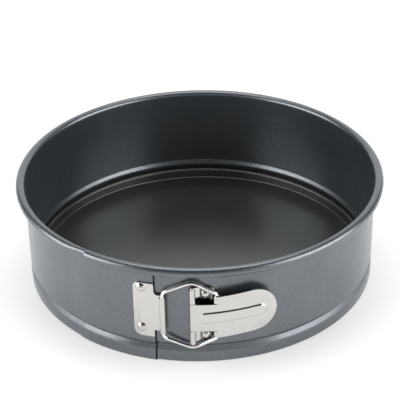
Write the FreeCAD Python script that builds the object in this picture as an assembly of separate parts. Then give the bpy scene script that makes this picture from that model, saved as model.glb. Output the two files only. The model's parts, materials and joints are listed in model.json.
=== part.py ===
import FreeCAD, Part
import math
import os

# A nine inch springform cake pan: a loose dished base, a sprung steel band whose two ends lap at the
# front, and an over-centre clasp that pulls the ends together.
#
# Frame: +Z up, origin under the middle of the base, where the pan stands. -Y is the clasp's side.
# A bearing is the angle round the pan seen from above, in degrees, from -Y towards +X. The lever's
# pin stands at bearing 0. The band runs all round: its left end is the outer layer of the lap and
# ends at the hook plate, and its right end is the inner layer and passes behind it.
# The one sprung strip is cut at two lines behind, so that it can open as three stiff lengths.

VECTOR = FreeCAD.Vector
UP = VECTOR(0, 0, 1)

# ---- band, mm ----
INNER_RADIUS = 114.3
BAND_SHEET = 0.5
PAN_HEIGHT = 70.0
CURL_RADIUS = 3.0
CURL_SWEEP = 300
LAYER_GAP = 0.3
NECK_START = 14.0
NECK_START_BEND = 3.0
NECK_HEIGHT = 11.1
NECK_DEPTH = 1.8
NECK_BEND = 0.9
SHOULDER_RADIUS = 114.9
SHOULDER_TOP = 7.6
SHOULDER_BEND = 3.5
FOOT_WIDTH = 1.7
FOOT_HEIGHT = 6.15
FOOT_BEND = 0.8
OUTER_LAYER_TOP = PAN_HEIGHT - 2 * CURL_RADIUS - 0.5
OUTER_LAYER_FOOT = 1.0

# ---- band, bearings in degrees ----
INNER_END = -32.8
CURL_END = -33.2
JOGGLE_START = -38.3
JOGGLE_END = -34.4
SEAM = -11.3
CUT_LINE = 120.0
CUT_GAP = 0.12

# ---- base, mm ----
BASE_SHEET = 0.6
FLOOR_RADIUS = 111.2
FLOOR_BEND = 1.2
STEP_RADIUS = 111.9
STEP_BEND = 1.5
FLANGE_RADIUS = 113.9
FLANGE_HEIGHT = 6.7

# ---- clasp, mm, degrees ----
PLATE = 0.8
CLASP_HEIGHT = 36.2
PIVOT_RADIUS = 118.0
PIN_RADIUS = 1.05
RUNNING_GAP = 0.05
ROLL_RADIUS = PIN_RADIUS + RUNNING_GAP + PLATE / 2
BARREL_BEARING = -8.7
BAR_BEARING = 6.95
SIDE_GAP = 0.3
SHARP_CORNER = 0.6

HOOK_START = -17.8
HOOK_END = -11.5
HOOK_BOTTOM = 18.2
HOOK_TOP = 56.4
HOOK_CORNER = 3.0
HOOK_LAP = 1.5
HOOK_RIVET_BEARING = -15.4
HOOK_RIVET_HEIGHT = 38.8
HOOK_RIVET_OFFSET = 14.3
BARREL_SWEEP = (180, -100)
BARREL_HALF = 12.8

BRACKET_START = 2.1
BRACKET_END = 6.7
BRACKET_HALF = 19.4
BRACKET_LAP = 1.0
BRACKET_RIVET_BEARING = 3.8
BRACKET_RIVET_OFFSET = 14.6
KNUCKLE_SWEEP = (180, 455)
PIN_END = 1.0
PIN_CHAMFER = 0.25

TONGUE_HALF = 9.5
KNUCKLE_START = TONGUE_HALF + SIDE_GAP
LEVER_HALF = 14.6
LEVER_TIP = 24.6
LEVER_RISE = 2.4
LEVER_LAP = 1.0
LEVER_SWEEP = (0, -250)
RIB_START = 1.9
RIB_END = 21.6
RIB_HALF = 4.0
RIB_HEIGHT = 0.6
RIB_CORNER = 3.75

BAIL_APEX_OFFSET = 23.9
BAIL_APEX_BEND = 8.0
BAIL_BARREL_OFFSET = 16.2
BAIL_BARREL_BEND = 4.0
BAIL_BAR_OFFSET = 16.0
BAIL_BAR_BEND = 2.0
BAIL_END_GAP = 0.3

RIVET_SHANK = 1.5
RIVET_HOLE = RIVET_SHANK + 0.05
RIVET_HEAD = 2.9
RIVET_DOME = 1.7
RIVET_SET = 0.4

# ---- worked-out sizes ----
BAND_MIDDLE = INNER_RADIUS + BAND_SHEET / 2
OUTER_RADIUS = INNER_RADIUS + BAND_SHEET
LAYER_STEP = BAND_SHEET + LAYER_GAP
LAP_RADIUS = OUTER_RADIUS + LAYER_STEP
SHOULDER_MIDDLE = SHOULDER_RADIUS - BAND_SHEET / 2
LEVER_MIDDLE = PIVOT_RADIUS + ROLL_RADIUS
SEAT_GAP = 0.05
HOOK_MIDDLE = LAP_RADIUS + SEAT_GAP + PLATE / 2
BRACKET_MIDDLE = OUTER_RADIUS + SEAT_GAP + PLATE / 2
CLASP_REACH = 60.0


def at(radius, bearing, height=0.0):
    """The point at that radius, bearing and height."""
    turn = math.radians(bearing)
    return VECTOR(radius * math.sin(turn), -radius * math.cos(turn), height)


def arc_length(bearing):
    """The length round the lever's middle surface from bearing 0."""
    return math.radians(bearing) * LEVER_MIDDLE


# ---- sheet metal ----
def rounded_path(corners):
    """Straight runs and tangent arcs through (across, along, corner radius) points in one plane."""
    points = [VECTOR(across, 0, along) for across, along, _ in corners]
    edges = []
    last = points[0]
    for i in range(1, len(points) - 1):
        back = (points[i - 1] - points[i]).normalize()
        ahead = (points[i + 1] - points[i]).normalize()
        half = back.getAngle(ahead) / 2
        reach = corners[i][2] / math.tan(half)
        middle = (back + ahead).normalize()
        depth = corners[i][2] / math.sin(half) - corners[i][2]
        start = points[i] + back * reach
        end = points[i] + ahead * reach
        edges.append(Part.LineSegment(last, start).toShape())
        edges.append(Part.Arc(start, points[i] + middle * depth, end).toShape())
        last = end
    edges.append(Part.LineSegment(last, points[-1]).toShape())
    return edges


def sheet_section(edges, thickness):
    """The closed face of a sheet whose middle line is those edges."""
    path = Part.Wire(edges)
    sides = [path.makeOffset2D(side * thickness / 2, openResult=True) for side in (1, -1)]
    first, second = [side.OrderedVertexes for side in sides]
    if first[0].Point.distanceToPoint(second[0].Point) > first[0].Point.distanceToPoint(second[-1].Point):
        second = second[::-1]
    caps = [Part.LineSegment(first[i].Point, second[i].Point).toShape() for i in (0, -1)]
    outline = Part.Wire(Part.__sortEdges__(sides[0].Edges + sides[1].Edges + caps))
    return Part.Face(outline)


def spun(section, start, end):
    """A section drawn at bearing 90 spun round the pan's axis from one bearing to another."""
    solid = section.revolve(VECTOR(0, 0, 0), UP, end - start)
    solid.rotate(VECTOR(0, 0, 0), UP, start - 90)
    return solid


def curl_edges():
    """The middle line of the rim's outward curl, ending on the wall."""
    radius = CURL_RADIUS - BAND_SHEET / 2
    across = BAND_MIDDLE + radius
    along = PAN_HEIGHT - CURL_RADIUS

    def on_curl(angle):
        turn = math.radians(180 - angle)
        return VECTOR(across + radius * math.cos(turn), 0, along + radius * math.sin(turn))

    return [Part.Arc(on_curl(CURL_SWEEP), on_curl(CURL_SWEEP / 2), on_curl(0)).toShape()]


def wall_corners(top):
    """The wall, the neck that holds the base down, and the top of the shoulder."""
    return [
        (BAND_MIDDLE, top, 0),
        (BAND_MIDDLE, NECK_START, NECK_START_BEND),
        (BAND_MIDDLE - NECK_DEPTH, NECK_HEIGHT, NECK_BEND),
        (SHOULDER_MIDDLE, SHOULDER_TOP, SHOULDER_BEND),
    ]


def foot_corners():
    """The foot: a narrow hem turned up inside, on whose edge the base's flange rests."""
    low = BAND_SHEET / 2
    inside = SHOULDER_MIDDLE - FOOT_WIDTH
    return [
        (SHOULDER_MIDDLE, low, FOOT_BEND),
        (inside, low, FOOT_BEND),
        (inside, FOOT_HEIGHT, 0),
    ]


def full_section():
    wall = rounded_path(wall_corners(PAN_HEIGHT - CURL_RADIUS) + foot_corners())
    return sheet_section(curl_edges() + wall, BAND_SHEET)


def plain_path():
    """The wall, neck and shoulder alone, without the curl and the foot."""
    return Part.Wire(rounded_path(wall_corners(OUTER_LAYER_TOP) + [(SHOULDER_MIDDLE, OUTER_LAYER_FOOT, 0)]))


def lap_section():
    """The outer layer of the lap: the plain wall, a layer further out."""
    shifted = [plain_path().makeOffset2D(side * LAYER_STEP, openResult=True) for side in (1, -1)]
    outer = max(shifted, key=lambda wire: wire.BoundBox.XMax)
    return sheet_section(outer.Edges, BAND_SHEET)


def joggle():
    """Where the left end steps out over the inner layer, a straight blend of the two sections."""
    start = sheet_section(plain_path().Edges, BAND_SHEET)
    end = lap_section()
    start.rotate(VECTOR(0, 0, 0), UP, JOGGLE_START - 90)
    end.rotate(VECTOR(0, 0, 0), UP, JOGGLE_END - 90)
    return Part.makeLoft([start.OuterWire, end.OuterWire], True, True)


def curl_section():
    """The curl with the strip of wall beside it, above the outer layer's edge."""
    wall = rounded_path([(BAND_MIDDLE, PAN_HEIGHT - CURL_RADIUS, 0), (BAND_MIDDLE, OUTER_LAYER_TOP, 0)])
    return sheet_section(curl_edges() + wall, BAND_SHEET)


def foot_section():
    """The foot alone, up to the shoulder's side."""
    side = (SHOULDER_MIDDLE, FOOT_HEIGHT, 0)
    return sheet_section(rounded_path([side] + foot_corners()), BAND_SHEET)


# ---- the band's three lengths ----
def band_back():
    return spun(full_section(), CUT_LINE + CUT_GAP / 2, 360 - CUT_LINE - CUT_GAP / 2)


def band_right():
    """The inner layer of the lap and the pan's right side, with the holes for the bracket's rivets."""
    band = spun(full_section(), INNER_END, CUT_LINE - CUT_GAP / 2)
    return band.cut(rivet_holes(BRACKET_RIVET_BEARING, CLASP_HEIGHT, BRACKET_RIVET_OFFSET))


def band_left():
    """The pan's left side and the outer layer of the lap, with the holes for the hook's rivets."""
    lengths = [
        joggle(),
        spun(lap_section(), JOGGLE_END, SEAM),
        spun(curl_section(), JOGGLE_START, CURL_END),
        spun(foot_section(), JOGGLE_START, CURL_END),
    ]
    band = spun(full_section(), CUT_GAP / 2 - CUT_LINE, JOGGLE_START).multiFuse(lengths)
    return band.cut(rivet_holes(HOOK_RIVET_BEARING, HOOK_RIVET_HEIGHT, HOOK_RIVET_OFFSET))


# ---- base ----
def base_disc():
    """A shallow dish with a flat floor and a flange that the band's neck holds down."""
    floor = BASE_SHEET / 2
    corners = [
        (0, floor, 0),
        (FLOOR_RADIUS, floor, FLOOR_BEND),
        (STEP_RADIUS, FLANGE_HEIGHT, STEP_BEND),
        (FLANGE_RADIUS, FLANGE_HEIGHT, 0),
    ]
    return spun(sheet_section(rounded_path(corners), BASE_SHEET), 90, 450)


# ---- clasp ----
def round_band(radius, start, end):
    """An arc in plan at that radius from one bearing to another."""
    return Part.Arc(at(radius, start), at(radius, (start + end) / 2), at(radius, end)).toShape()


def roll(bearing, start, end):
    """An arc in plan round the pivot at that bearing. Angle 0 is outward and 90 is towards +bearing."""
    centre = at(PIVOT_RADIUS, bearing)

    def on_roll(angle):
        turn = math.radians(angle)
        return centre + (at(1, bearing) * math.cos(turn) + at(1, bearing + 90) * math.sin(turn)) * ROLL_RADIUS

    return Part.Arc(on_roll(start), on_roll((start + end) / 2), on_roll(end)).toShape()


def link(first, second):
    """The straight run in plan from the end of one edge to the start of the next."""
    return Part.LineSegment(first.lastVertex(True).Point, second.firstVertex(True).Point).toShape()


def strip(edges, low, high):
    """Plate bent along those edges in plan, between two heights from the clasp's middle."""
    section = sheet_section(edges, PLATE)
    section.translate(VECTOR(0, 0, CLASP_HEIGHT + low))
    return section.extrude(UP * (high - low))


def front_prism(corners):
    """A prism along Y from (bearing, height, corner radius) corners."""
    placed = []
    for bearing, height, radius in corners:
        placed.append((at(PIVOT_RADIUS, bearing).x, height, radius))
    start = ((placed[0][0] + placed[-1][0]) / 2, (placed[0][1] + placed[-1][1]) / 2, 0)
    outline = Part.Wire(rounded_path([start] + placed + [start]))
    return Part.Face(outline).extrude(VECTOR(0, -PIVOT_RADIUS - CLASP_REACH, 0))


def curved_plate(middle, thickness, prism):
    """The part of a tube round the pan, of that middle radius and thickness, that lies in the prism."""
    outer = Part.makeCylinder(middle + thickness / 2, PAN_HEIGHT)
    inner = Part.makeCylinder(middle - thickness / 2, PAN_HEIGHT)
    return prism.common(outer).cut(inner)


def rivet_holes(bearing, middle, offset):
    holes = []
    for side in (1, -1):
        start = at(INNER_RADIUS - PLATE, bearing, middle + side * offset)
        holes.append(Part.makeCylinder(RIVET_HOLE, 4 * PLATE, start, at(1, bearing)))
    return holes[0].fuse(holes[1])


def hook_plate():
    """The plate on the outer layer, rolled at its right into the barrel that the bail turns in."""
    outline = front_prism([
        (HOOK_START, HOOK_BOTTOM, HOOK_CORNER),
        (HOOK_END, HOOK_BOTTOM, SHARP_CORNER),
        (HOOK_END, HOOK_TOP, SHARP_CORNER),
        (HOOK_START, HOOK_TOP, HOOK_CORNER),
    ])
    barrel = roll(BARREL_BEARING, *BARREL_SWEEP)
    lead = round_band(HOOK_MIDDLE, HOOK_END - HOOK_LAP, HOOK_END)
    rolled = strip([lead, link(lead, barrel), barrel], -BARREL_HALF, BARREL_HALF)
    plate = curved_plate(HOOK_MIDDLE, PLATE, outline).fuse(rolled)
    holes = rivet_holes(HOOK_RIVET_BEARING, HOOK_RIVET_HEIGHT, HOOK_RIVET_OFFSET)
    return plate.cut(holes).removeSplitter()


def lever_bracket():
    """The plate on the inner layer, with a knuckle at its top and its bottom for the lever's pin."""
    low = CLASP_HEIGHT - BRACKET_HALF
    high = CLASP_HEIGHT + BRACKET_HALF
    outline = front_prism([
        (BRACKET_START, low, SHARP_CORNER),
        (BRACKET_END, low, HOOK_CORNER),
        (BRACKET_END, high, HOOK_CORNER),
        (BRACKET_START, high, SHARP_CORNER),
    ])
    knuckle = roll(0, *KNUCKLE_SWEEP)
    lead = round_band(BRACKET_MIDDLE, BRACKET_START + BRACKET_LAP, BRACKET_START)
    path = [lead, link(lead, knuckle), knuckle]
    knuckles = [
        strip(path, KNUCKLE_START, BRACKET_HALF),
        strip(path, -BRACKET_HALF, -KNUCKLE_START),
    ]
    plate = curved_plate(BRACKET_MIDDLE, PLATE, outline).multiFuse(knuckles)
    holes = rivet_holes(BRACKET_RIVET_BEARING, CLASP_HEIGHT, BRACKET_RIVET_OFFSET)
    return plate.cut(holes).removeSplitter()


def clasp_lever():
    """The lever: a tongue rolled round the pin, two ears rolled round the bail's bar, and a round handle."""
    round_start = math.degrees((arc_length(LEVER_TIP) - LEVER_HALF) / LEVER_MIDDLE)
    left = at(PIVOT_RADIUS, BAR_BEARING).x
    right = at(PIVOT_RADIUS, round_start).x
    tip = VECTOR(at(PIVOT_RADIUS, LEVER_TIP).x, 0, CLASP_HEIGHT + LEVER_RISE)
    corners = [
        VECTOR(right, 0, CLASP_HEIGHT + LEVER_RISE + LEVER_HALF),
        VECTOR(left, 0, CLASP_HEIGHT + LEVER_HALF),
        VECTOR(left, 0, CLASP_HEIGHT - LEVER_HALF),
        VECTOR(right, 0, CLASP_HEIGHT + LEVER_RISE - LEVER_HALF),
    ]
    edges = [Part.LineSegment(a, b).toShape() for a, b in zip(corners, corners[1:])]
    edges.append(Part.Arc(corners[-1], tip, corners[0]).toShape())
    prism = Part.Face(Part.Wire(edges)).extrude(VECTOR(0, -PIVOT_RADIUS - CLASP_REACH, 0))
    lead = round_band(LEVER_MIDDLE, BAR_BEARING + LEVER_LAP, 0)
    tongue = strip([lead, roll(0, *LEVER_SWEEP)], -TONGUE_HALF, TONGUE_HALF)
    ear_lead = round_band(LEVER_MIDDLE, BAR_BEARING + LEVER_LAP, BAR_BEARING)
    ear = [ear_lead, roll(BAR_BEARING, *LEVER_SWEEP)]
    ear_start = TONGUE_HALF + 2 * SIDE_GAP
    pieces = [tongue, strip(ear, ear_start, LEVER_HALF), strip(ear, -LEVER_HALF, -ear_start)]
    return curved_plate(LEVER_MIDDLE, PLATE, prism).multiFuse(pieces + [lever_rib()]).removeSplitter()


def lever_rib():
    """The long round-ended rib pressed outward along the lever."""
    left = CLASP_HEIGHT
    right = CLASP_HEIGHT + LEVER_RISE
    outline = front_prism([
        (RIB_START, left - RIB_HALF, RIB_CORNER),
        (RIB_END, right - RIB_HALF, RIB_CORNER),
        (RIB_END, right + RIB_HALF, RIB_CORNER),
        (RIB_START, left + RIB_HALF, RIB_CORNER),
    ])
    return curved_plate(LEVER_MIDDLE + RIB_HEIGHT / 2, PLATE + RIB_HEIGHT, outline)


def lever_pin():
    """The pin through both knuckles and the lever's tongue."""
    half = BRACKET_HALF + PIN_END
    pin = Part.makeCylinder(PIN_RADIUS, 2 * half, at(PIVOT_RADIUS, 0, CLASP_HEIGHT - half), UP)
    return pin.makeChamfer(PIN_CHAMFER, [edge for edge in pin.Edges if edge.Closed])


def bail_wire():
    """The bent wire loop. Its bar turns in the lever's ears and its two ends stop short of the barrel."""
    barrel = at(PIVOT_RADIUS, BARREL_BEARING)
    bar = at(PIVOT_RADIUS, BAR_BEARING)
    chord = bar - barrel
    apex = chord.Length * -barrel.x / chord.x
    end = BARREL_HALF + BAIL_END_GAP
    corners = [
        (0, end, 0),
        (0, BAIL_BARREL_OFFSET, BAIL_BARREL_BEND),
        (apex, BAIL_APEX_OFFSET, BAIL_APEX_BEND),
        (chord.Length, BAIL_BAR_OFFSET, BAIL_BAR_BEND),
        (chord.Length, -BAIL_BAR_OFFSET, BAIL_BAR_BEND),
        (apex, -BAIL_APEX_OFFSET, BAIL_APEX_BEND),
        (0, -BAIL_BARREL_OFFSET, BAIL_BARREL_BEND),
        (0, -end, 0),
    ]
    path = Part.Wire(rounded_path(corners))
    circle = Part.Wire(Part.Circle(VECTOR(0, 0, end), UP, PIN_RADIUS).toShape())
    wire = path.makePipeShell([circle], True, True)
    wire.rotate(VECTOR(0, 0, 0), UP, math.degrees(math.atan2(chord.y, chord.x)))
    wire.translate(barrel + UP * CLASP_HEIGHT)
    return wire


def bail_hinge_wire():
    """The length of the bail's wire that stays in the barrel."""
    foot = at(PIVOT_RADIUS, BARREL_BEARING, CLASP_HEIGHT - BARREL_HALF)
    return Part.makeCylinder(PIN_RADIUS, 2 * BARREL_HALF, foot, UP)


def rivet(bearing, height, seat, inside, inner_head):
    """A domed rivet whose head sits at radius seat and whose shank ends at radius inside."""
    ball = (RIVET_HEAD ** 2 + RIVET_DOME ** 2) / (2 * RIVET_DOME)
    head = Part.makeCylinder(RIVET_HEAD, RIVET_DOME)
    head = head.common(Part.makeSphere(ball, VECTOR(0, 0, RIVET_DOME - ball)))
    shank = Part.makeCylinder(RIVET_SHANK, seat - inside, VECTOR(0, 0, inside - seat))
    solid = head.fuse(shank)
    if inner_head:
        flat = Part.makeCylinder(RIVET_HEAD - RIVET_SET, RIVET_SET, VECTOR(0, 0, inside - seat - RIVET_SET))
        solid = solid.fuse(flat)
    solid.rotate(VECTOR(0, 0, 0), VECTOR(1, 0, 0), 90)
    solid.rotate(VECTOR(0, 0, 0), UP, bearing)
    solid.translate(at(seat, bearing, height))
    return solid.removeSplitter()


def hook_rivet(side):
    seat = HOOK_MIDDLE + PLATE / 2 + SEAT_GAP / 2
    height = HOOK_RIVET_HEIGHT + side * HOOK_RIVET_OFFSET
    return rivet(HOOK_RIVET_BEARING, height, seat, OUTER_RADIUS + LAYER_GAP, False)


def bracket_rivet(side):
    seat = BRACKET_MIDDLE + PLATE / 2 + SEAT_GAP / 2
    height = CLASP_HEIGHT + side * BRACKET_RIVET_OFFSET
    return rivet(BRACKET_RIVET_BEARING, height, seat, INNER_RADIUS - SEAT_GAP, True)


PARTS = {
    "base_disc": base_disc,
    "band_back": band_back,
    "band_right": band_right,
    "band_left": band_left,
    "hook_plate": hook_plate,
    "hook_rivet_upper": lambda: hook_rivet(1),
    "hook_rivet_lower": lambda: hook_rivet(-1),
    "lever_bracket": lever_bracket,
    "bracket_rivet_upper": lambda: bracket_rivet(1),
    "bracket_rivet_lower": lambda: bracket_rivet(-1),
    "lever_pin": lever_pin,
    "clasp_lever": clasp_lever,
    "bail_wire": bail_wire,
    "bail_hinge_wire": bail_hinge_wire,
}

os.makedirs("parts", exist_ok=True)
for name, make in PARTS.items():
    shape = make()
    print(name, "solids", len(shape.Solids), "valid", shape.isValid(), "mm3", round(shape.Volume, 1))
    shape.exportStep("parts/" + name + ".step")
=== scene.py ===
import json
import math

import bmesh
import bpy
from mathutils import Matrix, Vector

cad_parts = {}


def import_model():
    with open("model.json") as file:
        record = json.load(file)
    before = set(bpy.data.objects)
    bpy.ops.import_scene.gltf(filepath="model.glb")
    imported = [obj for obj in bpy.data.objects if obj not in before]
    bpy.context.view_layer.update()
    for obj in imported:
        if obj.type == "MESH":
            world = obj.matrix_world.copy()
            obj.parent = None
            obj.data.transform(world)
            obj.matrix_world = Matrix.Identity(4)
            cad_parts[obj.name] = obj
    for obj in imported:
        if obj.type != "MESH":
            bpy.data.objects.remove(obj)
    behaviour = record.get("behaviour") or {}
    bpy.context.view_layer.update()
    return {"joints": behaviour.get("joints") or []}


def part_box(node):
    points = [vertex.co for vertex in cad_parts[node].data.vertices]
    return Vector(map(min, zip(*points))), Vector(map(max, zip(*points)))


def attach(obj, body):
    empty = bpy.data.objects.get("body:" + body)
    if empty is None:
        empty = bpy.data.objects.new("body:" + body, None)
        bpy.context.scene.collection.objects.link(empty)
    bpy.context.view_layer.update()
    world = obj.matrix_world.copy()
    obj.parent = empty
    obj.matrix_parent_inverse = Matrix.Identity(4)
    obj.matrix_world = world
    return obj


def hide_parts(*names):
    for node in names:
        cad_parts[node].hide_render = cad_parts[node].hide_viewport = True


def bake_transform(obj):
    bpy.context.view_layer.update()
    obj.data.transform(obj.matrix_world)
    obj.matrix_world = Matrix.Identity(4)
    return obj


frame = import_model()

# Springform pan. Metres, +Z up, origin under the middle of the base, the clasp on the -Y side.
# A bearing is the angle round the pan seen from above, in radians, from -Y towards +X.

MM = 0.001
MERGED = 1e-7
SLIVER = 1e-8
JUST_INSIDE = 1e-9
JOINTS = {joint["name"]: joint for joint in frame["joints"]}
UP = Vector((0, 0, 1))


def bearing_of(point):
    return math.atan2(point[0], -point[1])


def at(radius, bearing, height=0.0):
    """The point at that radius, bearing and height."""
    return Vector((radius * math.sin(bearing), -radius * math.cos(bearing), height))


# ---- sizes that the frame gives ----
PIN = Vector(JOINTS["lever_swing"]["pos_m"])
BAR = Vector(JOINTS["bail_swing"]["pos_m"])
BARREL_LOW, BARREL_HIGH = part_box("bail_hinge_wire")
BARREL = (BARREL_LOW + BARREL_HIGH) / 2
BARREL_HALF = (BARREL_HIGH.z - BARREL_LOW.z) / 2
PIVOT_RADIUS = PIN.xy.length
CLASP_HEIGHT = PIN.z
PAN_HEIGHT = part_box("band_back")[1].z
RIM_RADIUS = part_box("band_back")[1].y
WIRE_RADIUS = (BARREL_HIGH.x - BARREL_LOW.x) / 2

# ---- band ----
SHEET = 0.5 * MM
CURL_RADIUS = 3.0 * MM
CURL_SWEEP = math.radians(300)
WALL = RIM_RADIUS - 2 * CURL_RADIUS + SHEET / 2
LAYER_GAP = 0.3 * MM
LAYER_STEP = SHEET + LAYER_GAP
NECK_START = 14.0 * MM
NECK_START_BEND = 3.0 * MM
NECK_HEIGHT = 11.1 * MM
NECK_DEPTH = 1.8 * MM
NECK_BEND = 0.9 * MM
SHOULDER = WALL + 0.1 * MM
SHOULDER_TOP = 7.6 * MM
SHOULDER_BEND = 3.5 * MM
FOOT_WIDTH = 1.7 * MM
FOOT_HEIGHT = 6.15 * MM
FOOT_BEND = 0.8 * MM
OUTER_LAYER_TOP = PAN_HEIGHT - 2 * CURL_RADIUS - 0.5 * MM
INNER_END = math.radians(-32.8)
CURL_END = math.radians(-32.86)
JOGGLE_START = math.radians(-41.8)
JOGGLE_END = math.radians(-34.2)
SEAM = math.radians(-11.3)
SEAM_EDGE = math.radians(0.3)
CRUSHED_CURL = 2.0 * MM
BAND_STEP = math.radians(1.0)
ARC_STEP = math.radians(12)
RUN_STEP = 3.0 * MM

# ---- base ----
BASE_SHEET = 0.6 * MM
FLOOR_RADIUS = 111.2 * MM
FLOOR_BEND = 1.2 * MM
STEP_RADIUS = 111.9 * MM
STEP_BEND = 1.5 * MM
FLANGE_HEIGHT = 6.7 * MM
FLANGE_RADIUS = 113.9 * MM

# ---- clasp ----
PLATE = 0.8 * MM
RUNNING_GAP = 0.05 * MM
ROLL_RADIUS = WIRE_RADIUS + RUNNING_GAP + PLATE / 2
SEAT_GAP = 0.05 * MM
LAP_FACE = WALL + SHEET / 2 + LAYER_STEP
HOOK_MIDDLE = LAP_FACE + SEAT_GAP + PLATE / 2
BRACKET_MIDDLE = WALL + SHEET / 2 + SEAT_GAP + PLATE / 2
LEVER_MIDDLE = PIVOT_RADIUS + ROLL_RADIUS
PLATE_BEVEL = 0.22 * MM


# ---- profiles: (radius, height) points of a sheet's middle line ----
def arc_points(centre, radius, start, end):
    """Points on an arc, angles counted from outward towards up."""
    steps = max(2, math.ceil(abs(end - start) / ARC_STEP))
    angles = [start + (end - start) * i / steps for i in range(steps + 1)]
    return [(centre[0] + radius * math.cos(a), centre[1] + radius * math.sin(a)) for a in angles]


def rounded_line(corners, run=RUN_STEP):
    """Points along straight runs and tangent arcs through (x, y, corner radius) corners."""
    points = [Vector(corner[:2]) for corner in corners]
    line = [points[0]]
    for i in range(1, len(points) - 1):
        back = (points[i - 1] - points[i]).normalized()
        ahead = (points[i + 1] - points[i]).normalized()
        half = back.angle(ahead) / 2
        radius = corners[i][2]
        centre = points[i] + (back + ahead).normalized() * radius / math.sin(half)
        start = points[i] + back * radius / math.tan(half) - centre
        end = points[i] + ahead * radius / math.tan(half) - centre
        turn = start.angle_signed(end)
        steps = max(2, math.ceil(abs(turn) / ARC_STEP))
        for k in range(steps + 1):
            line.append(centre + Matrix.Rotation(-turn * k / steps, 2) @ start)
    line.append(points[-1])
    filled = [line[0]]
    for point in line[1:]:
        count = max(1, math.ceil((point - filled[-1]).length / run))
        last = filled[-1]
        filled += [last.lerp(point, k / count) for k in range(1, count + 1)]
    return [p for p, q in zip(filled, filled[1:] + [None]) if q is None or (p - q).length > MERGED]


def normals_of(line):
    """Unit normals to the left of a line of 2D points."""
    result = []
    for i, point in enumerate(line):
        before = line[max(i - 1, 0)]
        after = line[min(i + 1, len(line) - 1)]
        along = (after - before).normalized()
        result.append(Vector((-along.y, along.x)))
    return result


def curl_line(wall, radius, top=PAN_HEIGHT):
    """The rim's outward curl, from its free end round to the wall."""
    middle = radius - SHEET / 2
    centre = (wall + middle, top - radius)
    return [Vector(p) for p in arc_points(centre, middle, math.pi - CURL_SWEEP, math.pi)]


def wall_corners(top):
    return [
        (WALL, top, 0),
        (WALL, NECK_START, NECK_START_BEND),
        (WALL - NECK_DEPTH, NECK_HEIGHT, NECK_BEND),
        (SHOULDER, SHOULDER_TOP, SHOULDER_BEND),
    ]


def foot_corners():
    low = SHEET / 2
    inside = SHOULDER - FOOT_WIDTH
    return [
        (SHOULDER, low, FOOT_BEND),
        (inside, low, FOOT_BEND),
        (inside, FOOT_HEIGHT, 0),
    ]


# ---- mesh builders ----
SHARP = math.radians(38)


def finished(name, bm, body, node, material):
    """Turns a bmesh into a smooth-shaded piece that rides on a body and stands for its CAD nodes."""
    bmesh.ops.remove_doubles(bm, verts=bm.verts, dist=MERGED)
    bmesh.ops.dissolve_degenerate(bm, dist=SLIVER, edges=bm.edges)
    bmesh.ops.recalc_face_normals(bm, faces=bm.faces)
    mesh = bpy.data.meshes.new(name)
    bm.to_mesh(mesh)
    bm.free()
    mesh.shade_smooth()
    mesh.set_sharp_from_angle(angle=SHARP)
    mesh.materials.append(material)
    piece = bpy.data.objects.new(name, mesh)
    bpy.context.scene.collection.objects.link(piece)
    if body:
        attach(piece, body)
    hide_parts(*node)
    return piece


def thick_sheet(lines, bearings, thickness, present=None, closed=False):
    """A sheet spun round the pan. lines holds its middle line at each bearing, as (radius, height)
    points. present(i, j) says whether there is sheet between points i, i+1 and bearings j, j+1."""
    bm = bmesh.new()
    sides = []
    for sign in (1, -1):
        grid = []
        for line, bearing in zip(lines, bearings):
            offset = [p + n * sign * thickness / 2 for p, n in zip(line, normals_of(line))]
            grid.append([bm.verts.new(at(max(p.x, 0), bearing, p.y)) for p in offset])
        sides.append(grid)
    outer, inner = sides
    columns = len(bearings)
    rows = len(lines[0]) - 1
    spans = columns if closed else columns - 1

    def there(i, j):
        if closed:
            j %= columns
        on_grid = 0 <= i < rows and 0 <= j < spans
        return on_grid and (present is None or present(i, j))

    for j in range(spans):
        k = (j + 1) % columns
        for i in range(rows):
            if not there(i, j):
                continue
            for grid in sides:
                bm.faces.new((grid[j][i], grid[j][i + 1], grid[k][i + 1], grid[k][i]))
            rims = [
                (there(i - 1, j), (j, i), (k, i)),
                (there(i + 1, j), (j, i + 1), (k, i + 1)),
                (there(i, j - 1), (j, i), (j, i + 1)),
                (there(i, j + 1), (k, i), (k, i + 1)),
            ]
            for covered, (a, b), (c, d) in rims:
                if not covered and (outer[a][b].co - outer[c][d].co).length > MERGED:
                    bm.faces.new((outer[a][b], outer[c][d], inner[c][d], inner[a][b]))
    for vert in [v for v in bm.verts if not v.link_faces]:
        bm.verts.remove(vert)
    return bm


def join_rings(bm, rings):
    """Faces between each ring of vertices and the next."""
    for low, high in zip(rings, rings[1:]):
        steps = len(low)
        for k in range(steps):
            after = (k + 1) % steps
            bm.faces.new((low[k], low[after], high[after], high[k]))


def lathe(profile, place, steps=40):
    """A solid of revolution from (radius, along) points, on the axis that place takes +Z to."""
    bm = bmesh.new()
    turns = [2 * math.pi * k / steps for k in range(steps)]
    rings = []
    for radius, along in profile:
        circle = [Vector((radius * math.cos(a), radius * math.sin(a), along)) for a in turns]
        rings.append([bm.verts.new(place @ point) for point in circle])
    join_rings(bm, rings)
    return bm


def tube(points, radius, steps=20):
    """A round wire with flat ends along points that lie in one plane."""
    normal = (points[1] - points[0]).cross(points[len(points) // 3] - points[0]).normalized()
    bm = bmesh.new()
    turns = [2 * math.pi * k / steps for k in range(steps)]
    rings = []
    for i, point in enumerate(points):
        along = (points[min(i + 1, len(points) - 1)] - points[max(i - 1, 0)]).normalized()
        side = along.cross(normal).normalized()
        circle = [point + (side * math.cos(a) + normal * math.sin(a)) * radius for a in turns]
        rings.append([bm.verts.new(place) for place in circle])
    join_rings(bm, rings)
    bm.faces.new(rings[0])
    bm.faces.new(rings[-1])
    return bm


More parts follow.
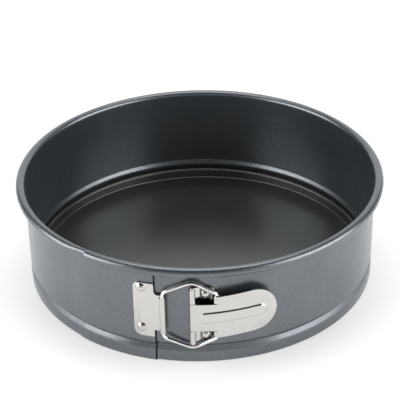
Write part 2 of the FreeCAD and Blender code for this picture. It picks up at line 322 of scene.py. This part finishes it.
class Bend:
    """The middle line, in plan, that a formed plate follows. Distance 0 is at a marked point of it."""

    def __init__(self, points, mark):
        eased = self.eased([p.copy() for p in points])
        self.points = eased
        self.run = [0.0]
        for before, after in zip(eased, eased[1:]):
            self.run.append(self.run[-1] + (after - before).length)
        nearest = min(range(len(eased)), key=lambda i: (eased[i] - mark).length)
        self.start = self.run[nearest]

    @staticmethod
    def eased(points, rounds=4):
        """The points with their kinks rounded."""
        for _ in range(rounds):
            inner = [(a + b * 2 + c) / 4 for a, b, c in zip(points, points[1:], points[2:])]
            points = [points[0]] + inner + [points[-1]]
        return points

    @property
    def low(self):
        return -self.start

    @property
    def high(self):
        return self.run[-1] - self.start

    def place(self, distance, height, z):
        """The point that lies that far along the line, that far off it, and at that height."""
        reach = min(max(distance + self.start, 0), self.run[-1] - JUST_INSIDE)
        low, high = 0, len(self.run) - 1
        while high - low > 1:
            middle = (low + high) // 2
            if self.run[middle] <= reach:
                low = middle
            else:
                high = middle
        share = (reach - self.run[low]) / (self.run[high] - self.run[low])
        point = self.points[low].lerp(self.points[high], share)
        before = self.points[max(low - 1, 0)].lerp(self.points[low], share)
        after = self.points[high].lerp(self.points[min(high + 1, len(self.points) - 1)], share)
        along = (after - before).normalized()
        outward = Vector((along.y, -along.x))
        return Vector((*(point + outward * height), z))


PATH_STEP = 0.08 * MM


def band_arc(radius, start, end):
    """Points in plan round the pan at that radius, between two bearings."""
    count = max(2, math.ceil(abs(end - start) * radius / PATH_STEP))
    return [at(radius, start + (end - start) * i / count).xy for i in range(count + 1)]


def roll_arc(centre, start, end):
    """Points in plan round a pivot. Angle 0 is outward and a quarter turn is towards +bearing."""
    bearing = bearing_of(centre)
    count = max(2, math.ceil(abs(end - start) * ROLL_RADIUS / PATH_STEP))
    outward = at(1, bearing).xy
    aside = at(1, bearing + math.pi / 2).xy
    points = []
    for i in range(count + 1):
        turn = start + (end - start) * i / count
        points.append(centre.xy + (outward * math.cos(turn) + aside * math.sin(turn)) * ROLL_RADIUS)
    return points


def straight(start, end):
    count = max(1, math.ceil((end - start).length / PATH_STEP))
    return [start.lerp(end, i / count) for i in range(1, count)]


def rounded_outline(corners):
    """The closed outline through (x, y, corner radius) corners, each corner an arc."""
    first = Vector(corners[0][:2])
    start = (first + Vector(corners[-1][:2])) / 2
    return rounded_line([(*start, 0)] + corners + [(*start, 0)], run=1.0)[:-1]


def cuts(start, end, step):
    count = max(1, math.ceil((end - start) / step))
    return [start + (end - start) * i / count for i in range(count + 1)]


def formed_plate(outline, place, cuts_along, cuts_up, raised=None):
    """Sheet metal cut to an outline of (distance, height) points, then bent by place."""
    bm = bmesh.new()
    layers = []
    for side in (-1, 1):
        layers.append([bm.verts.new((p.x, p.y, side * PLATE / 2)) for p in outline])
    lower, upper = layers
    faces = [bm.faces.new(lower[::-1]), bm.faces.new(upper)]
    rim = [edge for face in faces for edge in face.edges]
    count = len(outline)
    for k in range(count):
        after = (k + 1) % count
        bm.faces.new((lower[k], lower[after], upper[after], upper[k]))
    bmesh.ops.bevel(bm, geom=rim, offset=PLATE_BEVEL, segments=2, profile=0.5, affect="EDGES")
    for normal, places in (((1, 0, 0), cuts_along), ((0, 1, 0), cuts_up)):
        for reach in places:
            everything = bm.verts[:] + bm.edges[:] + bm.faces[:]
            point = Vector(normal) * reach
            bmesh.ops.bisect_plane(bm, geom=everything, plane_co=point, plane_no=normal, dist=MERGED)
    for vert in bm.verts:
        distance, up, off = vert.co
        if raised:
            off += raised(distance, up)
        vert.co = place(distance, off, up)
    return bm


# ---- materials ----
def node_tree(name):
    material = bpy.data.materials.new(name)
    material.use_nodes = True
    nodes = material.node_tree.nodes
    return material, nodes, material.node_tree.links, nodes["Principled BSDF"]


def grain(nodes, links, place, scale, detail, low, high):
    """A noise in the object's own space, as values from low to high."""
    noise = nodes.new("ShaderNodeTexNoise")
    noise.inputs["Scale"].default_value = scale
    noise.inputs["Detail"].default_value = detail
    links.new(place.outputs["Object"], noise.inputs["Vector"])
    ranged = nodes.new("ShaderNodeMapRange")
    ranged.inputs["From Min"].default_value = 0.3
    ranged.inputs["From Max"].default_value = 0.7
    ranged.inputs["To Min"].default_value = low
    ranged.inputs["To Max"].default_value = high
    links.new(noise.outputs["Fac"], ranged.inputs["Value"])
    return ranged.outputs["Result"]


def scaled_colour(nodes, links, colour, factors):
    """A colour multiplied by each of the factors."""
    result = None
    for factor in factors:
        scale = nodes.new("ShaderNodeVectorMath")
        scale.operation = "SCALE"
        if result is None:
            scale.inputs[0].default_value = colour
        else:
            links.new(result, scale.inputs[0])
        links.new(factor, scale.inputs["Scale"])
        result = scale.outputs["Vector"]
    return result


def bumped(nodes, links, shader, height, distance, strength):
    bump = nodes.new("ShaderNodeBump")
    bump.inputs["Distance"].default_value = distance
    bump.inputs["Strength"].default_value = strength
    links.new(height, bump.inputs["Height"])
    links.new(bump.outputs["Normal"], shader.inputs["Normal"])


def coating(name, colour, roughness, gloss):
    """A dark non-stick coat with fine metal flake, cloudy patches and a slight orange peel."""
    material, nodes, links, shader = node_tree(name)
    place = nodes.new("ShaderNodeTexCoord")
    flake = grain(nodes, links, place, scale=1500, detail=2, low=0.86, high=1.16)
    cloud = grain(nodes, links, place, scale=35, detail=3, low=0.94, high=1.06)
    links.new(scaled_colour(nodes, links, colour, [flake, cloud]), shader.inputs["Base Color"])
    low, high = roughness - 0.05, roughness + 0.05
    rough = grain(nodes, links, place, scale=900, detail=2, low=low, high=high)
    links.new(rough, shader.inputs["Roughness"])
    shader.inputs["Metallic"].default_value = 0.85
    shader.inputs["Coat Weight"].default_value = gloss
    shader.inputs["Coat Roughness"].default_value = 0.2
    peel = grain(nodes, links, place, scale=1100, detail=3, low=0, high=1)
    bumped(nodes, links, shader, peel, distance=0.02 * MM, strength=0.12)
    return material


def plated(name, colour, roughness, ripples=0.12):
    """Nickel plate over pressed steel: bright, with faint drawing lines and handling haze."""
    material, nodes, links, shader = node_tree(name)
    place = nodes.new("ShaderNodeTexCoord")
    haze = grain(nodes, links, place, scale=120, detail=4, low=0.97, high=1.02)
    links.new(scaled_colour(nodes, links, colour, [haze]), shader.inputs["Base Color"])
    low, high = roughness - 0.04, roughness + 0.05
    rough = grain(nodes, links, place, scale=260, detail=4, low=low, high=high)
    links.new(rough, shader.inputs["Roughness"])
    shader.inputs["Metallic"].default_value = 1.0
    ripple = grain(nodes, links, place, scale=400, detail=2, low=0, high=1)
    bumped(nodes, links, shader, ripple, distance=0.01 * MM, strength=ripples)
    return material


# The near-black coat is painted shade along the lap's cut edge, standing in for the shadow in the gap
# between the layers. The dark nickel is painted shade on the bracket's plate, standing in for the
# shade it lies in behind the lever.
BAND_COAT = coating("band_coat", (0.150, 0.166, 0.180), 0.32, 0.3)
BASE_COAT = coating("base_coat", (0.090, 0.092, 0.090), 0.38, 0.6)
LAP_GAP_SHADE = coating("painted_lap_gap_shade", (0.006, 0.006, 0.007), 0.7, 0.0)
NICKEL = plated("nickel", (0.60, 0.585, 0.565), 0.14)
SHADED_NICKEL = plated("painted_shade_nickel", (0.19, 0.185, 0.175), 0.2)
BRIGHT_NICKEL = plated("bright_nickel", (0.84, 0.83, 0.81), 0.1, 0.02)


# ---- the band ----
def smooth(share):
    share = min(max(share, 0), 1)
    return share * share * (3 - 2 * share)


# The profile is made in two runs, which meet on the side of the shoulder. The lap's outer layer has
# no curl and ends in the foot's first bend.
SHOULDER_SIDE = 3.0 * MM
PLAIN = rounded_line(wall_corners(OUTER_LAYER_TOP) + [(SHOULDER, SHOULDER_SIDE, 0)])
FOOT = rounded_line([(SHOULDER, SHOULDER_SIDE, 0)] + foot_corners())[1:]
FIRST_ARC = math.ceil(math.pi / 2 / ARC_STEP) + 1
COVERED = len(PLAIN) + FIRST_ARC
CURL_POINTS = len(curl_line(WALL, CURL_RADIUS))
LAP_LAST = CURL_POINTS + len(PLAIN) + FIRST_ARC // 2


def band_line(share):
    """The band's middle line. Share runs from 0, a single layer, to 1, the lap's outer layer."""
    radius = CURL_RADIUS + (CRUSHED_CURL - CURL_RADIUS) * share
    curl = curl_line(WALL + LAYER_STEP * share, radius)
    below = PLAIN + FOOT
    moved = []
    for i, (point, side) in enumerate(zip(below, normals_of(below))):
        step = LAYER_STEP * share if i < COVERED else 0
        shifted = point + side * step
        shifted.y = max(shifted.y, SHEET / 2)
        moved.append(shifted)
    return curl + moved


def joggle_share(bearing):
    return smooth((bearing - JOGGLE_START) / (JOGGLE_END - JOGGLE_START))


def band_left():
    """The band from behind to the lap's cut edge, where it is the outer layer."""
    fine = BAND_STEP / 2
    bearings = cuts(-math.pi, JOGGLE_START, BAND_STEP)
    bearings += cuts(JOGGLE_START, CURL_END, fine)[1:]
    lap_first = len(bearings) - 1
    bearings += cuts(CURL_END, SEAM - SEAM_EDGE, BAND_STEP)[1:] + [SEAM]

    def present(i, j):
        return j < lap_first or CURL_POINTS <= i < LAP_LAST

    lines = [band_line(joggle_share(bearing)) for bearing in bearings]
    bm = thick_sheet(lines, bearings, SHEET, present)
    # The faces within SEAM_EDGE of the cut edge take the near-black coat: painted shade, standing in
    # for the shadow in the gap between the lap's layers.
    for face in bm.faces:
        face.material_index = int(bearing_of(face.calc_center_median()) > SEAM - SEAM_EDGE)
    piece = finished("band_left_sheet", bm, None, ["band_left"], BAND_COAT)
    piece.data.materials.append(LAP_GAP_SHADE)
    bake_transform(piece)


def band_right():
    """The band from the end that passes inside the lap round to behind."""
    bearings = cuts(INNER_END, math.pi, BAND_STEP)
    bm = thick_sheet([band_line(0)] * len(bearings), bearings, SHEET)
    nodes = ["band_right", "band_back"]
    piece = finished("band_right_sheet", bm, None, nodes, BAND_COAT)
    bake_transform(piece)


# ---- the base ----
def base():
    """The loose dished base, with the flange that sits in the band's groove."""
    middle = BASE_SHEET / 2
    corners = [
        (0, middle, 0),
        (FLOOR_RADIUS, middle, FLOOR_BEND),
        (STEP_RADIUS, FLANGE_HEIGHT, STEP_BEND),
        (FLANGE_RADIUS, FLANGE_HEIGHT, 0),
    ]
    line = rounded_line(corners, run=9 * MM)
    bearings = cuts(0, 2 * math.pi, BAND_STEP)[:-1]
    bm = thick_sheet([line] * len(bearings), bearings, BASE_SHEET, closed=True)
    finished("base_sheet", bm, "base", ["base_disc"], BASE_COAT)


# ---- the clasp ----
TONGUE_HALF = 9.5 * MM
SIDE_GAP = 0.3 * MM
LEVER_HALF = 14.6 * MM
LEVER_TIP = math.radians(24.6)
LEVER_RISE = 2.4 * MM
ROLL_SWEEP = math.radians(250)
RIB_START = math.radians(1.9)
RIB_END = math.radians(21.6)
RIB_HALF = 4.1 * MM
RIB_HEIGHT = 0.8 * MM
RIB_EDGE = 1.1 * MM
RIB_WANDER = 0.5 * MM
LEVER_CORNER = 0.3 * MM
BAR_BEARING = bearing_of(BAR)

# How finely the plates are cut before they are bent: in a roll, on a plate and on the rib's edge.
ROLL_CUT = 0.3 * MM
PLATE_CUT = 1.6 * MM
EDGE_CUT = 0.22 * MM
# A plate's middle surface runs on this far past its outline.
SPARE = math.radians(1)

HOOK_START = math.radians(-17.8)
HOOK_END = math.radians(-11.5)
HOOK_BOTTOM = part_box("hook_plate")[0].z - CLASP_HEIGHT
HOOK_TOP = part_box("hook_plate")[1].z - CLASP_HEIGHT
HOOK_CORNER_LOW = 4.2 * MM
HOOK_CORNER_HIGH = 3.0 * MM
HOOK_CORNER_EDGE = 0.5 * MM
NOTCH_CORNER_LOW = 0.4 * MM
NOTCH_CORNER_HIGH = 1.2 * MM
NOTCH_SHIFT = 0.2 * MM
ROLL_CORNER = 0.2 * MM
BARREL_SWEEP = (math.pi, math.radians(-100))

BRACKET_LEFT = math.radians(2.1)
BRACKET_RIGHT = math.radians(6.7)
BRACKET_HALF = 19.4 * MM
BRACKET_CORNER = 3.0 * MM
BRACKET_NOTCH_CORNER = 0.4 * MM
KNUCKLE_SWEEP = (math.radians(455), math.pi)

BAIL_BARREL_OFFSET = 16.2 * MM
BAIL_BARREL_BEND = 4.0 * MM
BAIL_APEX_OFFSET = 23.9 * MM
BAIL_APEX_BEND = 8.0 * MM
BAIL_BAR_OFFSET = 16.0 * MM
BAIL_BAR_BEND = 2.0 * MM
BAIL_RUN = 1.5 * MM

PIN_EDGE = 0.25 * MM
BARREL_ROD_INSET = 0.02 * MM
RIVET_SHANK = 1.5 * MM
RIVET_HEAD = 2.9 * MM
RIVET_DOME = 1.7 * MM
RIVET_EDGE = 0.2 * MM
DOME_STEPS = 10


def along_lever(bearing):
    """The distance from the bail's bar round the lever's middle surface."""
    return (bearing - BAR_BEARING) * LEVER_MIDDLE


TIP_CENTRE = along_lever(LEVER_TIP) - LEVER_HALF


def lever_lean(distance):
    """How far the lever's edges have risen by there."""
    return LEVER_RISE * min(max(distance / TIP_CENTRE, 0), 1)


def rib_height(distance, up):
    """How far the lever's pressed rib stands out there."""
    first = along_lever(RIB_START) + RIB_HALF
    last = along_lever(RIB_END) - RIB_HALF
    beyond = max(first - distance, 0, distance - last)
    middle = LEVER_RISE * min(max((distance - first) / (last - first), 0), 1)
    aside = up + lever_lean(distance) - middle
    return RIB_HEIGHT * smooth((RIB_HALF - math.hypot(beyond, aside)) / RIB_EDGE)


def lever():
    """The lever: a tongue rolled round the pin, two ears rolled round the bar, and a round handle."""
    handle = band_arc(LEVER_MIDDLE, BAR_BEARING, LEVER_TIP + SPARE)
    mark = at(LEVER_MIDDLE, BAR_BEARING).xy
    tongue_lead = band_arc(LEVER_MIDDLE, 0, BAR_BEARING)
    tongue = Bend(roll_arc(PIN, -ROLL_SWEEP, 0) + tongue_lead[1:] + handle[1:], mark)
    ear = Bend(roll_arc(BAR, -ROLL_SWEEP, 0) + handle[1:], mark)
    slit = TONGUE_HALF + 2 * SIDE_GAP
    tip = TIP_CENTRE + LEVER_HALF
    upper = [
        (tongue.low, TONGUE_HALF, LEVER_CORNER),
        (SIDE_GAP, TONGUE_HALF, LEVER_CORNER / 3),
        (SIDE_GAP, slit, LEVER_CORNER / 3),
        (ear.low, slit, LEVER_CORNER),
        (ear.low, LEVER_HALF, LEVER_CORNER),
        (tip, LEVER_HALF, LEVER_HALF - LEVER_CORNER),
    ]
    corners = upper + [(x, -y, radius) for x, y, radius in reversed(upper)]

    def place(distance, off, up):
        bend = tongue if abs(up) < slit - SIDE_GAP else ear
        return bend.place(distance, off, CLASP_HEIGHT + up + lever_lean(distance))

    first, last = along_lever(RIB_START), along_lever(RIB_END)
    along = cuts(tongue.low, along_lever(0), ROLL_CUT) + cuts(ear.low, 0, ROLL_CUT)
    along += cuts(first, first + RIB_HALF, 2 * EDGE_CUT) + cuts(last - RIB_HALF, last, 2 * EDGE_CUT)
    along += cuts(first + RIB_HALF, last - RIB_HALF, PLATE_CUT) + cuts(last, tip, PLATE_CUT)
    edge = RIB_HALF - RIB_EDGE - RIB_WANDER
    up = cuts(edge, RIB_HALF + RIB_WANDER, EDGE_CUT) + cuts(0, edge, 3 * EDGE_CUT)
    up += [-height for height in up]
    bm = formed_plate(rounded_outline(corners), place, sorted(set(along)), sorted(set(up)), rib_height)
    finished("lever_plate", bm, "lever", ["clasp_lever"], NICKEL)


def hook():
    """The plate on the outer layer, rolled at its right into the barrel that the bail turns in."""
    barrel = roll_arc(BARREL, *BARREL_SWEEP)
    lead = band_arc(HOOK_MIDDLE, HOOK_START - SPARE, HOOK_END)
    bend = Bend(lead + straight(lead[-1], barrel[0]) + barrel, lead[-1])
    left = (HOOK_START - HOOK_END) * HOOK_MIDDLE
    corners = [
        (left, HOOK_BOTTOM, HOOK_CORNER_LOW),
        (0, HOOK_BOTTOM, HOOK_CORNER_EDGE),
        (0, -BARREL_HALF, NOTCH_CORNER_LOW),
        (bend.high, -BARREL_HALF, ROLL_CORNER),
        (bend.high, BARREL_HALF, ROLL_CORNER),
        (NOTCH_SHIFT, BARREL_HALF, NOTCH_CORNER_HIGH),
        (0, HOOK_TOP, HOOK_CORNER_EDGE),
        (left, HOOK_TOP, HOOK_CORNER_HIGH),
    ]

    def place(distance, off, up):
        return bend.place(distance, off, CLASP_HEIGHT + up)

    along = cuts(left, 0, PLATE_CUT) + cuts(0, bend.high, ROLL_CUT)
    bm = formed_plate(rounded_outline(corners), place, sorted(set(along)), [])
    finished("hook_sheet", bm, "ring_left", ["hook_plate"], NICKEL)


def bracket():
    """The plate on the inner layer, with a knuckle at its top and its bottom for the lever's pin."""
    knuckle = roll_arc(PIN, *KNUCKLE_SWEEP)
    lead = band_arc(BRACKET_MIDDLE, BRACKET_LEFT, BRACKET_RIGHT + SPARE)
    bend = Bend(knuckle + straight(knuckle[-1], lead[0]) + lead, lead[0])
    right = (BRACKET_RIGHT - BRACKET_LEFT) * BRACKET_MIDDLE
    notch = TONGUE_HALF + SIDE_GAP
    corners = [
        (bend.low, -BRACKET_HALF, ROLL_CORNER),
        (right, -BRACKET_HALF, BRACKET_CORNER),
        (right, BRACKET_HALF, BRACKET_CORNER),
        (bend.low, BRACKET_HALF, ROLL_CORNER),
        (bend.low, notch, ROLL_CORNER),
        (0, notch, BRACKET_NOTCH_CORNER),
        (0, -notch, BRACKET_NOTCH_CORNER),
        (bend.low, -notch, ROLL_CORNER),
    ]

    def place(distance, off, up):
        return bend.place(distance, off, CLASP_HEIGHT + up)

    along = cuts(bend.low, 0, ROLL_CUT) + cuts(0, right, PLATE_CUT)
    bm = formed_plate(rounded_outline(corners), place, sorted(set(along)), [])
    # The bracket's plate, right of its knuckles, takes the dark copy of the nickel: painted shade for
    # the shade it lies in behind the lever. The knuckles keep the bright nickel.
    for face in bm.faces:
        face.material_index = int(bearing_of(face.calc_center_median()) > BRACKET_LEFT)
    piece = finished("bracket_sheet", bm, "ring_right", ["lever_bracket"], NICKEL)
    piece.data.materials.append(SHADED_NICKEL)


def bail():
    """The bent wire loop, whose two ends stop at the mouths of the hook plate's barrel."""
    chord = BAR.xy - BARREL.xy
    apex = chord.length * -BARREL.x / chord.x
    corners = [
        (0, BARREL_HALF, 0),
        (0, BAIL_BARREL_OFFSET, BAIL_BARREL_BEND),
        (apex, BAIL_APEX_OFFSET, BAIL_APEX_BEND),
        (chord.length, BAIL_BAR_OFFSET, BAIL_BAR_BEND),
    ]
    corners += [(x, -y, radius) for x, y, radius in reversed(corners)]
    points = []
    for point in rounded_line(corners, run=BAIL_RUN):
        plan = BARREL.xy + chord.normalized() * point.x
        points.append(Vector((plan.x, plan.y, CLASP_HEIGHT + point.y)))
    bm = tube(points, WIRE_RADIUS)
    finished("bail_loop", bm, "bail", ["bail_wire"], BRIGHT_NICKEL)


def rod(name, centre, half, body, node):
    """A straight round pin with broken edges."""
    profile = [(0, -half), (WIRE_RADIUS - PIN_EDGE, -half), (WIRE_RADIUS, PIN_EDGE - half)]
    profile += [(radius, -along) for radius, along in reversed(profile)]
    bm = lathe(profile, Matrix.Translation(centre), steps=28)
    finished(name, bm, body, [node], BRIGHT_NICKEL)


def rivets(prefix, seat, inside, inner_head, body):
    """The upper and lower domed rivets of a plate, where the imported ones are."""
    rise = RIVET_DOME - RIVET_EDGE
    ball = (RIVET_HEAD ** 2 + rise ** 2) / (2 * rise)
    reach = math.asin(RIVET_HEAD / ball)
    foot = inside - seat
    profile = [(0, foot), (RIVET_SHANK, foot), (RIVET_SHANK, 0)]
    profile += [(RIVET_HEAD - RIVET_EDGE, 0), (RIVET_HEAD, RIVET_EDGE)]
    if inner_head:
        flat = RIVET_HEAD - 2 * RIVET_EDGE
        low = foot - 2 * RIVET_EDGE
        set_over = [(0, low), (flat - RIVET_EDGE, low), (flat, low + RIVET_EDGE), (flat, foot)]
        profile = set_over + profile[1:]
    for k in range(1, DOME_STEPS + 1):
        turn = reach * (1 - k / DOME_STEPS)
        profile.append((ball * math.sin(turn), RIVET_DOME - ball + ball * math.cos(turn)))
    for end in ("upper", "lower"):
        node = prefix + "_" + end
        low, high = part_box(node)
        centre = (low + high) / 2
        outward = at(1, bearing_of(centre))
        turn = UP.rotation_difference(outward).to_matrix().to_4x4()
        place = Matrix.Translation(Vector((*(outward.xy * seat), centre.z))) @ turn
        bm = lathe(profile, place)
        finished(node + "_head", bm, body, [node], NICKEL)


band_left()
band_right()
base()
lever()
hook()
bracket()
bail()
PIN_HALF = (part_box("lever_pin")[1].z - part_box("lever_pin")[0].z) / 2
rod("pin_rod", PIN, PIN_HALF, "ring_right", "lever_pin")
rod("barrel_rod", BARREL, BARREL_HALF - BARREL_ROD_INSET, "ring_left", "bail_hinge_wire")
rivets("hook_rivet", HOOK_MIDDLE + PLATE / 2, LAP_FACE - SHEET, False, "ring_left")
rivets("bracket_rivet", BRACKET_MIDDLE + PLATE / 2, WALL - SHEET / 2, True, "ring_right")


# ---- floor, light and camera ----
FLOOR_HALF = 6
FLOOR_DROP = 0.1 * MM


def floor():
    """The pale floor. It gives off a little light, so that it stays pale away from the lamps."""
    bm = bmesh.new()
    bmesh.ops.create_grid(bm, x_segments=2, y_segments=2, size=FLOOR_HALF)
    mesh = bpy.data.meshes.new("floor")
    bm.to_mesh(mesh)
    bm.free()
    material, _, _, shader = node_tree("floor_paper")
    shader.inputs["Base Color"].default_value = (0.7, 0.7, 0.7, 1)
    shader.inputs["Emission Color"].default_value = (1, 1, 1, 1)
    shader.inputs["Emission Strength"].default_value = 0.4
    shader.inputs["Roughness"].default_value = 0.9
    shader.inputs["Specular IOR Level"].default_value = 0.1
    mesh.materials.append(material)
    piece = bpy.data.objects.new("floor", mesh)
    piece.location.z = -FLOOR_DROP
    bpy.context.scene.collection.objects.link(piece)


def softbox(name, place, aim, width, height, power):
    light = bpy.data.lights.new(name, "AREA")
    light.shape = "RECTANGLE"
    light.size = width
    light.size_y = height
    light.energy = power
    lamp = bpy.data.objects.new(name, light)
    lamp.location = place
    lamp.rotation_euler = (Vector(aim) - Vector(place)).to_track_quat("-Z", "Y").to_euler()
    bpy.context.scene.collection.objects.link(lamp)


def world(strength):
    sky = bpy.data.worlds.new("studio")
    sky.use_nodes = True
    background = sky.node_tree.nodes["Background"]
    background.inputs["Color"].default_value = (1, 1, 1, 1)
    background.inputs["Strength"].default_value = strength
    bpy.context.scene.world = sky


SENSOR_WIDTH = 36


def camera():
    """The view from in front and above, a little to the clasp's right."""
    distance = 0.8815
    elevation = math.radians(31.996)
    azimuth = math.radians(2.8)
    roll = math.radians(-1.146)
    tilt = math.radians(1.188)
    lens = 117.56
    aim = Vector((0, 0, 25.06 * MM))
    place = aim + at(distance * math.cos(elevation), azimuth, distance * math.sin(elevation))
    turn = (aim - place).to_track_quat("-Z", "Y").to_matrix().to_4x4()
    turn = turn @ Matrix.Rotation(tilt, 4, "X") @ Matrix.Rotation(roll, 4, "Z")
    data = bpy.data.cameras.new("camera")
    data.lens = lens
    data.sensor_width = SENSOR_WIDTH
    eye = bpy.data.objects.new("camera", data)
    eye.matrix_world = Matrix.Translation(place) @ turn
    bpy.context.scene.collection.objects.link(eye)
    bpy.context.scene.camera = eye


floor()
world(0.06)
softbox("left_box", (-1.05, -0.35, 0.45), (0, 0, 0.05), 1.1, 0.8, 12)
softbox("right_box", (1.05, -0.35, 0.45), (0, 0, 0.05), 1.1, 0.8, 12)
softbox("back_box", (0, 1.5, 0.75), (0, 0, 0.05), 3.0, 1.4, 14)
softbox("front_box", (0.2, -1.6, 0.42), (0, 0, 0.05), 2.6, 0.4, 2.5)
softbox("top_box", (0, 0.35, 1.6), (0, 0, 0), 1.2, 1.0, 12)
camera()
bpy.context.scene.view_settings.view_transform = "Standard"
